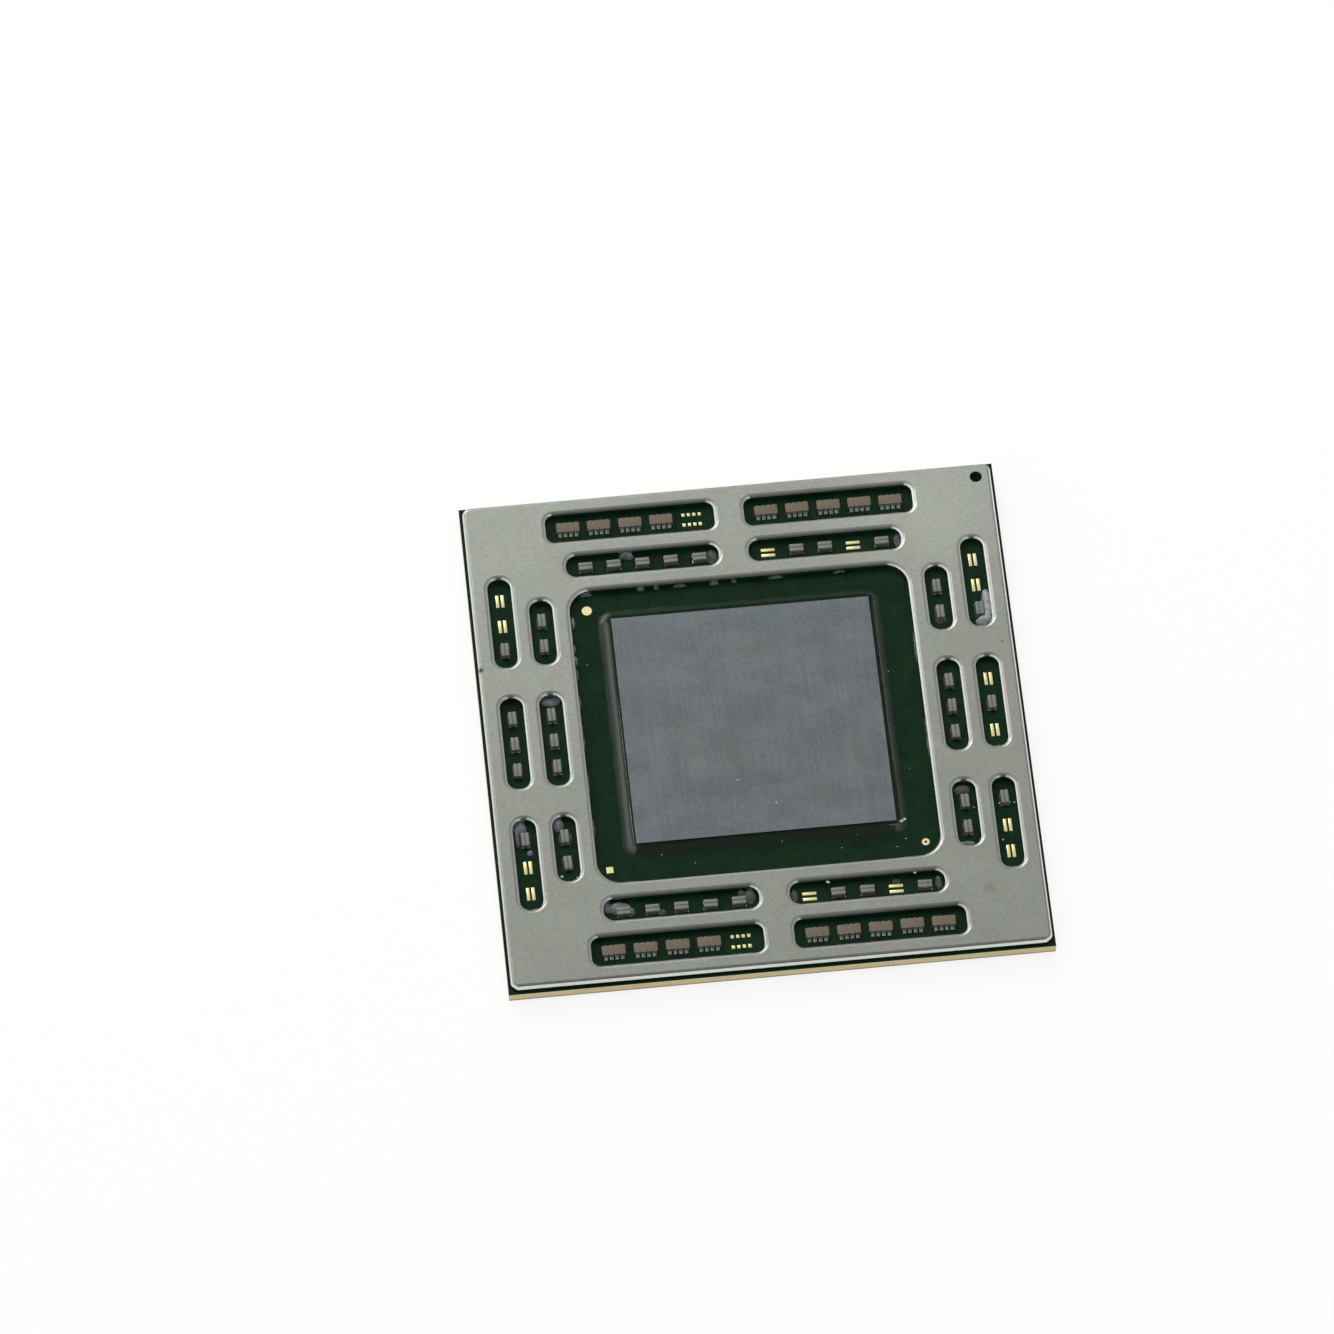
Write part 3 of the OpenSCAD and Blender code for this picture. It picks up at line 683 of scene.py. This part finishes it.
def makeBall():
    radius = ballShape["diameter"] / 2 * mm
    bpy.ops.object.select_all(action="DESELECT")
    bpy.ops.mesh.primitive_uv_sphere_add(segments=ballShape["segments"], ring_count=ballShape["rings"],
                                         radius=radius, location=(0, 0, radius))
    ball = bpy.context.object
    bpy.ops.object.transform_apply(location=True, rotation=True, scale=True)
    bpy.ops.object.mode_set(mode="EDIT")
    bpy.ops.mesh.select_all(action="SELECT")
    bpy.ops.mesh.bisect(plane_co=(0, 0, ballShape["height"] * mm), plane_no=(0, 0, 1), clear_outer=True,
                        use_fill=True)
    bpy.ops.object.mode_set(mode="OBJECT")
    smoothBy(ball, 50)
    return ball


def setBalls(node):
    # only the tips of the node's balls are kept, and a ball hangs on each
    tips = copyOfNode(node, "tips", angle=0)
    pick(tips, lambda p: p[2] > 0.002)
    bpy.ops.mesh.delete(type="VERT")
    bpy.ops.object.mode_set(mode="OBJECT")
    ball = makeBall()
    ball.parent = tips
    tips.instance_type = "VERTS"
    selectOnly(tips)
    bpy.ops.object.duplicates_make_real()
    made = [o for o in bpy.context.selected_objects if o is not tips]
    for one in made:
        one.parent = None
    removeAll(tips, ball)
    bpy.ops.object.select_all(action="DESELECT")
    for one in made:
        one.select_set(True)
    bpy.context.view_layer.objects.active = made[0]
    bpy.ops.object.make_single_user(object=True, obdata=True)
    piece = joinInto(node.replace("balls_", "solderBalls_"), made)
    finishPiece(piece, "solder_ball", finish["solder_ball"], node)
    return len(made)


ballNodes = [part["node"] for part in frame["record"]["subparts"] if part["node"].startswith("balls_")]
print("balls set:", sum(setBalls(node) for node in ballNodes))

# capacitors: each part modelled once at the origin on the mask, then copied to its sites

chipShape = {
    "size": (1.0, 0.52, 0.42), "lift": 0.05, "round": 0.018,
    # terminals: middles along the body, width, depth of the wrap and thickness
    "places": (0.0,), "width": 1.02, "wrap": 0.215, "skin": 0.02,
    # solder at their feet: width, how far out and how high it goes
    "solder": 0.96, "toe": 0.10, "climb": 0.10,
}
arrayShape = {
    "size": (1.70, 0.72, 0.46), "lift": 0.05, "round": 0.035,
    "places": (-0.6, -0.2, 0.2, 0.6), "width": 0.22, "wrap": 0.045, "skin": 0.016,
    "solder": 0.27, "toe": 0.20, "climb": 0.22,
}
solderShape = {"sunk": 0.02, "tip": 0.01, "pressIn": 0.018, "pressDown": 0.022, "round": 0.012}
# how far a part is off its place in mm, and off its direction in degrees
seatPlay = {"shift": 0.022, "turn": 1.4}
sides = ("north", "south", "west", "east")


def roundedBox(name, low, high, width):
    piece = boxPiece(name, low, high)
    bevelPiece(piece, width, 3)
    smoothBy(piece, 60)
    return piece


def bodyOf(shape):
    l, w, h = shape["size"]
    low, high = (-l / 2, -w / 2, shape["lift"]), (l / 2, w / 2, shape["lift"] + h)
    return roundedBox("capBody", low, high, shape["round"])


def terminalsOf(shape):
    l, w, h = shape["size"]
    half, skin = shape["width"] / 2, shape["skin"]
    edge = min(shape["round"], shape["wrap"] * 0.45)
    made = []
    for x in shape["places"]:
        for side in (-1, 1):
            near, far = sorted((side * (w / 2 - shape["wrap"]), side * (w / 2 + skin)))
            low, high = (x - half, near, shape["lift"] - skin), (x + half, far, shape["lift"] + h + skin)
            made.append(roundedBox("capTerminal", low, high, edge))
    return joinInto("capTerminals", made)


def wedgeOf(x, side, shape):
    # a hollow wedge of solder at the foot of one terminal
    half, climb, sunk = shape["solder"] / 2, shape["climb"], solderShape["sunk"]
    face = shape["size"][1] / 2 + shape["skin"] - sunk
    toe = face + shape["toe"] + sunk
    near, far = side * face, side * toe
    wedge = boxPiece("capFillet", (x - half, min(near, far), -sunk), (x + half, max(near, far), climb))
    pick(wedge, lambda p: abs(p[1] - far) < 0.001 and p[2] > climb - 0.001)
    bpy.ops.transform.translate(value=(0, 0, (solderShape["tip"] - climb) * mm))
    # the slope is divided and its middle pressed in
    pick(wedge, lambda a, b: abs(a[1] - b[1]) > 0.05 and a[2] + b[2] > -0.02, "EDGE")
    bpy.ops.mesh.subdivide(number_cuts=2)
    pick(wedge, lambda p: abs(p[1] - (near + far) / 2) < (toe - face) * 0.3 and p[2] > 0.0)
    pressIn, pressDown = solderShape["pressIn"] * mm, solderShape["pressDown"] * mm
    bpy.ops.transform.translate(value=(0, -side * pressIn, -pressDown))
    bpy.ops.object.mode_set(mode="OBJECT")
    bevelPiece(wedge, solderShape["round"], 2, angle=50)
    smoothBy(wedge, 55)
    return wedge


def filletsOf(shape):
    return joinInto("capFillets", [wedgeOf(x, side, shape) for x in shape["places"] for side in (-1, 1)])


def looseParts(node):
    # every separate body of a node as an object, with its lowest and highest corner
    piece = copyOfNode(node, "loose")
    others = set(bpy.data.objects)
    bpy.ops.object.mode_set(mode="EDIT")
    bpy.ops.mesh.select_all(action="SELECT")
    bpy.ops.mesh.separate(type="LOOSE")
    bpy.ops.object.mode_set(mode="OBJECT")
    bodies = [piece] + [o for o in bpy.data.objects if o not in others]
    return [(body, *cornersOf([v.co / mm for v in body.data.vertices])) for body in bodies]


def sitesOf(node, seed):
    # x, y and turn of every body in a node, each a little off its place
    chance = random.Random(seed)
    found = []
    for body, low, high in looseParts(node):
        upright = high[1] - low[1] > high[0] - low[0]
        found.append((*middleOf(low, high)[:2], 90.0 if upright else 0.0))
        removeAll(body)
    most = (seatPlay["shift"], seatPlay["shift"], seatPlay["turn"])
    return [[value + chance.uniform(-play, play) for value, play in zip(site, most)]
            for site in sorted(found)]


def copiesAt(template, sites, name):
    made = []
    for x, y, turn in sites:
        selectOnly(template)
        bpy.ops.object.duplicate(linked=False)
        one = bpy.context.object
        one.rotation_euler = (0, 0, math.radians(turn))
        one.location = (x * mm, y * mm, maskTop * mm)
        made.append(one)
    return joinInto(name, made)


capSites = {}


def setCaps(kind, shape, where, seed):
    # bodies and terminals of one kind, one piece of each for every side
    body, terminals = bodyOf(shape), terminalsOf(shape)
    for number, side in enumerate(where):
        sites = sitesOf(f"{kind}_caps_{side}", seed + number)
        capSites[kind, side] = sites
        bodies = copiesAt(body, sites, f"{kind}Bodies_{side}")
        finishPiece(bodies, f"{kind}_ceramic", finish[f"{kind}_ceramic"], f"{kind}_caps_{side}")
        tinned = copiesAt(terminals, sites, f"{kind}Terminals_{side}")
        finishPiece(tinned, "tinned_terminal", finish["tinned_terminal"], f"{kind}_terminals_{side}")
    removeAll(body, terminals)


def setSolder():
    arrayFillets, chipFillets = filletsOf(arrayShape), filletsOf(chipShape)
    for side in sides:
        solder = copiesAt(chipFillets, capSites["chip", side], f"solderFillets_{side}")
        finishPiece(solder, "solder_fillet", finish["solder_fillet"], f"solder_joints_{side}")
        if ("array", side) in capSites:
            solder = copiesAt(arrayFillets, capSites["array", side], f"arrayFillets_{side}")
            finishPiece(solder, "solder_fillet", brightFillet)
    removeAll(arrayFillets, chipFillets)


setCaps("array", arrayShape, sides[:2], 0)
setCaps("chip", chipShape, sides, 10)
setSolder()
print("capacitors set:", sum(len(s) for s in capSites.values()))

# lands: soft edges, and the two lands of a chip a little closer together

landShape = {
    # distance of a chip's two lands, and how much each moves to the other
    "pair": 0.58, "closer": {"north": 0.07, "south": 0.07, "west": 0.10, "east": 0.10},
    "round": 0.02, "lift": 0.022, "coverLift": 0.009,
}


def setCover(side):
    # green mask closes the old openings
    cover = copyOfNode(f"lands_{side}", f"maskCover_{side}")
    cover.location = (0, 0, landShape["coverLift"] * mm)
    finishPiece(joinInto(cover.name, [cover]), "solder_mask", finish["solder_mask"])


def setLands(side):
    setCover(side)
    parts = looseParts(f"lands_{side}")
    centres = [middleOf(low, high)[:2] for body, low, high in parts]
    share = landShape["closer"][side] / landShape["pair"] * mm
    for (body, low, high), here in zip(parts, centres):
        mate = next((c for c in centres if abs(math.dist(c, here) - landShape["pair"]) < 0.01), here)
        body.location = [(m - h) * share for m, h in zip(mate, here)] + [landShape["lift"] * mm]
    pads = joinInto(f"landPads_{side}", [body for body, low, high in parts])
    bevelPiece(pads, landShape["round"], 2)
    smoothBy(pads, 40)
    finishPiece(pads, "gold", finish["gold"], f"lands_{side}")
    return len(parts)


print("lands set:", sum(setLands(side) for side in sides))

# resin that crept into the slots, sealant along the window, and dust; pale resin ridges and a few white
# specks are painted highlights

# each row: x, y, half length along x, half length along y, height in mm
milkyBlobs = (
    (-17.78, -6.66, 0.52, 0.66, 0.34), (-18.02, -7.50, 0.18, 0.70, 0.30), (-17.20, -8.70, 0.24, 0.26, 0.22),
    (-14.98, -6.66, 0.44, 0.54, 0.34), (-7.89, 14.70, 0.56, 0.26, 0.56), (-7.66, 14.60, 0.34, 0.22, 0.48),
    (-14.55, 3.34, 0.74, 0.36, 0.24), (-11.20, -13.75, 0.80, 0.50, 0.50), (-12.05, -13.60, 0.36, 0.46, 0.26),
    (-10.50, -14.10, 0.40, 0.34, 0.40), (14.35, -11.05, 0.60, 0.22, 0.22),
)
filmBlobs = (
    (18.08, 7.95, 0.42, 1.45, 0.64), (17.70, 6.80, 0.62, 0.44, 0.62),
)
hazeBlobs = (
    (-1.62, 14.05, 0.42, 0.62, 0.40), (-1.75, -13.75, 0.46, 0.60, 0.46), (-2.35, -13.45, 0.30, 0.24, 0.50),
    (14.45, -6.75, 0.62, 0.44, 0.30), (1.42, -14.05, 0.30, 0.55, 0.36),
    (11.95, -13.95, 0.26, 0.55, 0.44), (12.20, 14.05, 0.36, 0.60, 0.40), (-14.55, -7.80, 0.55, 0.60, 0.50),
    (14.60, 7.20, 0.46, 0.34, 0.30), (8.90, -13.60, 0.30, 0.22, 0.20), (-8.20, -14.35, 0.34, 0.24, 0.26),
)
sealantBeads = (
    (-11.20, 11.80, 0.55, 0.10, 0.44), (-7.10, 11.84, 0.30, 0.10, 0.40), (-5.95, 11.84, 0.22, 0.09, 0.38),
    (-4.20, 11.85, 0.50, 0.07, 0.36), (-1.70, 11.82, 0.34, 0.12, 0.46), (-0.20, 11.84, 0.22, 0.11, 0.46),
    (2.90, 11.85, 0.60, 0.07, 0.36), (7.60, 11.85, 0.45, 0.06, 0.34), (-12.43, 7.40, 0.12, 0.34, 0.46),
    (-12.40, 6.45, 0.16, 0.36, 0.50), (-12.42, 5.35, 0.13, 0.44, 0.48), (-12.44, 3.10, 0.08, 0.70, 0.38),
    (-12.45, 0.20, 0.07, 1.10, 0.36), (-12.44, -3.60, 0.09, 0.90, 0.38), (-12.44, -7.20, 0.08, 0.80, 0.36),
    (12.44, 5.20, 0.08, 1.30, 0.38), (12.45, -2.20, 0.07, 1.60, 0.36), (-12.30, 9.60, 0.16, 0.55, 0.40),
)
# glossy ridges in the resin along the die, each with its level at the end; their pale colour is a painted
# highlight
ridgeBeads = (
    (dieLow[0] - 0.13, -7.20, 0.055, 1.85, 0.07, 1.90), (dieLow[0] - 0.13, -1.50, 0.035, 5.00, 0.05, 1.90),
    (dieHigh[0] + 0.33, 0.50, 0.035, 7.80, 0.04, 1.64),
    (dieHigh[0] - 0.20, dieLow[1] - 0.14, 0.40, 0.05, 0.06, 1.86),
)
# specks of white dust: x, y, radius and the height above the mask they lie at; the specks by the die's
# south-east corner, near x 9.8 and y -9.0, paint a glint
specks = (
    (3.96, -13.33, 0.15, 0.42), (10.30, -13.20, 0.17, 0.46), (10.93, -14.35, 0.13, 0.30),
    (-14.00, -11.10, 0.10, 0.20), (-15.10, -10.90, 0.12, 0.20), (17.05, -8.20, 0.09, 0.30),
    (17.45, -8.24, 0.06, 0.30), (17.80, -8.18, 0.07, 0.30), (18.15, -8.22, 0.06, 0.30),
    (17.00, -11.00, 0.10, 0.0), (15.20, -8.20, 0.08, 0.0), (9.80, -8.98, 0.20, 0.40),
    (10.05, -8.85, 0.12, 0.40), (9.45, -9.12, 0.10, 0.30), (-4.10, -9.35, 0.05, 0.2),
    (-6.60, -9.50, 0.05, 0.1), (1.05, -9.60, 0.05, 0.1), (2.60, -9.20, 0.04, 0.2),
    (6.50, -9.60, 0.04, 0.1), (9.55, -9.10, 0.09, 0.0), (0.55, -9.35, 0.06, 0.0),
    (1.70, -9.15, 0.05, 0.0), (2.10, -9.35, 0.08, 0.0), (5.30, -10.50, 0.05, 0.0),
    (10.00, -10.20, 0.06, 0.0), (9.30, -10.80, 0.05, 0.0), (-8.95, -9.55, 0.05, 0.0),
    (-7.75, -9.75, 0.07, 0.0), (-5.40, -10.65, 0.05, 0.0), (-2.90, -9.75, 0.04, 0.0),
    (-11.60, 6.10, 0.05, 0.0), (10.25, 3.40, 0.06, 0.0), (10.90, -4.60, 0.05, 0.0),
    (6.20, -13.10, 0.06, 0.1),
)
blobShape = {"segments": 24, "rings": 12, "waves": 0.8, "uneven": 0.18}
speckShape = {"grain": 0.08, "uneven": 0.05, "lift": 0.2}


def blobAt(x, y, halfX, halfY, height, low=maskTop):
    # a low dome that stands on the mask
    bpy.ops.object.select_all(action="DESELECT")
    bpy.ops.mesh.primitive_uv_sphere_add(segments=blobShape["segments"], ring_count=blobShape["rings"],
                                         radius=1.0)
    blob = bpy.context.object
    bpy.ops.object.mode_set(mode="EDIT")
    bpy.ops.mesh.select_all(action="SELECT")
    bpy.ops.mesh.bisect(plane_co=(0, 0, 0), plane_no=(0, 0, 1), clear_inner=True, use_fill=True)
    bpy.ops.object.mode_set(mode="OBJECT")
    blob.scale = (halfX * mm, halfY * mm, height * mm)
    blob.location = (x * mm, y * mm, low * mm)
    return blob


def setBlobs(name, rows, slot, material, uneven=blobShape["uneven"]):
    piece = joinInto(name, [blobAt(*row) for row in rows])
    ripple(piece, blobShape["waves"], uneven, middle=0.6)
    smoothBy(piece, 50)
    finishPiece(piece, slot, material)


def setSpecks():
    # flat flakes, each turned its own way
    chance = random.Random(77)
    made = []
    for x, y, radius, lift in specks:
        bpy.ops.object.select_all(action="DESELECT")
        bpy.ops.mesh.primitive_ico_sphere_add(subdivisions=2, radius=radius * mm)
        speck = bpy.context.object
        speck.scale = (chance.uniform(0.6, 1.1), chance.uniform(0.5, 0.9), chance.uniform(0.25, 0.4))
        speck.rotation_euler = (0, 0, chance.uniform(0, 3.1))
        speck.location = (x * mm, y * mm, (maskTop + lift + radius * speckShape["lift"]) * mm)
        made.append(speck)
    piece = joinInto("dustSpecks", made)
    ripple(piece, speckShape["grain"], speckShape["uneven"])
    finishPiece(piece, "adhesive", dustWhite)


setBlobs("resinFilms", milkyBlobs, "underfill", milkyViolet)
setBlobs("resinSmear", filmBlobs, "underfill", paleFilm)
# resin ridges, made pale as a painted highlight
setBlobs("resinRidges", ridgeBeads, "underfill", paleRidge, uneven=0.01)
setBlobs("resinHaze", hazeBlobs, "underfill", milkySmear)
setBlobs("sealantBeads", sealantBeads, "adhesive", paleSealant)
setSpecks()
print("resin, sealant and dust set")

# stage, light and camera

stage = {"size": 4.0, "colour": 0.92, "glow": 0.80, "white": 1.06}


def makeFloor():
    # white to the camera and in reflections, and matt under the object's shadow
    bpy.ops.object.select_all(action="DESELECT")
    bpy.ops.mesh.primitive_plane_add(size=stage["size"], location=(0, 0, 0))
    floor = bpy.context.object
    floor.name = "floor"
    material, tree, shader = startMaterial("floorWhite", 0.9)
    shader.inputs["Base Color"].default_value = (*(stage["colour"],) * 3, 1.0)
    path = tree.nodes.new("ShaderNodeLightPath")
    seen = path.outputs["Is Camera Ray"]
    for name in ("Is Glossy Ray", "Is Transmission Ray"):
        largest = tree.nodes.new("ShaderNodeMath")
        largest.operation = "MAXIMUM"
        tree.links.new(seen, largest.inputs[0])
        tree.links.new(path.outputs[name], largest.inputs[1])
        seen = largest.outputs[0]
    share = tree.nodes.new("ShaderNodeMath")
    share.operation = "MULTIPLY"
    share.inputs[1].default_value = stage["glow"]
    tree.links.new(seen, share.inputs[0])
    glow = tree.nodes.new("ShaderNodeEmission")
    glow.inputs["Strength"].default_value = stage["white"]
    mix = tree.nodes.new("ShaderNodeMixShader")
    tree.links.new(share.outputs[0], mix.inputs[0])
    tree.links.new(shader.outputs[0], mix.inputs[1])
    tree.links.new(glow.outputs[0], mix.inputs[2])
    output = next(n for n in tree.nodes if n.type == "OUTPUT_MATERIAL")
    tree.links.new(mix.outputs[0], output.inputs[0])
    floor.data.materials.append(material)


keyLight = {"place": (-0.16, 0.42, 0.34), "size": 0.30, "power": 1.0}


def makeLight():
    bpy.ops.object.light_add(type="AREA", location=keyLight["place"])
    lamp = bpy.context.object
    lamp.name = "keyNorthWest"
    lamp.data.size = keyLight["size"]
    lamp.data.energy = keyLight["power"]
    lamp.rotation_euler = (-Vector(keyLight["place"])).to_track_quat("-Z", "Y").to_euler()


sky = {
    # brightness from the south horizon over the top to the north one, in the middle and at both sides
    "arch": ((0.0, 0.09), (0.07, 0.07), (0.25, 0.10), (0.375, 0.27), (0.5, 0.52), (0.62, 0.74), (0.73, 0.80),
             (0.86, 0.78), (0.93, 0.50), (1.0, 0.45)),
    "sides": ((0.0, 0.62), (0.5, 0.66), (0.75, 0.80), (1.0, 0.60)),
    # from west to east: where the sides take over, and how bright each part is
    "aside": ((0.37, 1.0), (0.43, 0.0), (0.57, 0.0), (0.63, 1.0)),
    "across": ((0.12, 1.42), (0.25, 1.0), (0.75, 1.0), (0.88, 0.62)),
    # from straight down to straight up: the white ring ends just above the horizon
    "ring": ((0.51, 1.0), (0.535, 0.0)),
    "tint": (0.985, 1.0, 1.0),
}


def makeWorld():
    # a bright west and north, a dim east and a dark south, with a white ring at the horizon
    world = bpy.data.worlds.new("softSky")
    bpy.context.scene.world = world
    world.use_nodes = True
    tree = world.node_tree
    tree.nodes.clear()
    where = tree.nodes.new("ShaderNodeTexCoord")

    def ramped(axis, stops):
        return rampOn(tree, spanOn(tree, where.outputs["Generated"], axis, -1.0, 1.0), *stops)

    colour = mixOn(tree, ramped("X", sky["aside"]), ramped("Y", sky["arch"]), ramped("Y", sky["sides"]))
    colour = mixOn(tree, 1.0, colour, ramped("X", sky["across"]), "MULTIPLY")
    colour = mixOn(tree, ramped("Z", sky["ring"]), colour, (1.0, 1.0, 1.0))
    colour = mixOn(tree, 1.0, colour, sky["tint"], "MULTIPLY")
    background = tree.nodes.new("ShaderNodeBackground")
    output = tree.nodes.new("ShaderNodeOutputWorld")
    tree.links.new(colour, background.inputs["Color"])
    tree.links.new(background.outputs[0], output.inputs[0])


cameraSet = {
    # what it looks at and how far off it stands, in mm, and its angles in degrees
    "target": (-5.85, 5.02, 2.09), "distance": 652.5,
    "azimuth": -6.45, "elevation": 63.07, "roll": 0.68,
    "lens": 241.0, "sensor": 36.0,
}


def makeCamera():
    around, above = math.radians(cameraSet["azimuth"]), math.radians(cameraSet["elevation"])
    back = Vector((math.sin(around) * math.cos(above), -math.cos(around) * math.cos(above), math.sin(above)))
    bpy.ops.object.camera_add(location=(Vector(cameraSet["target"]) + back * cameraSet["distance"]) * mm)
    camera = bpy.context.object
    camera.rotation_euler = (-back).to_track_quat("-Z", "Y").to_euler()
    camera.rotation_euler.rotate_axis("Z", math.radians(cameraSet["roll"]))
    camera.data.lens = cameraSet["lens"]
    camera.data.sensor_width = cameraSet["sensor"]
    camera.data.clip_start, camera.data.clip_end = 0.01, 10.0
    bpy.context.scene.camera = camera


makeFloor()
makeWorld()
makeLight()
makeCamera()
bpy.context.scene.view_settings.view_transform = "Standard"
print("stage, light and camera set")
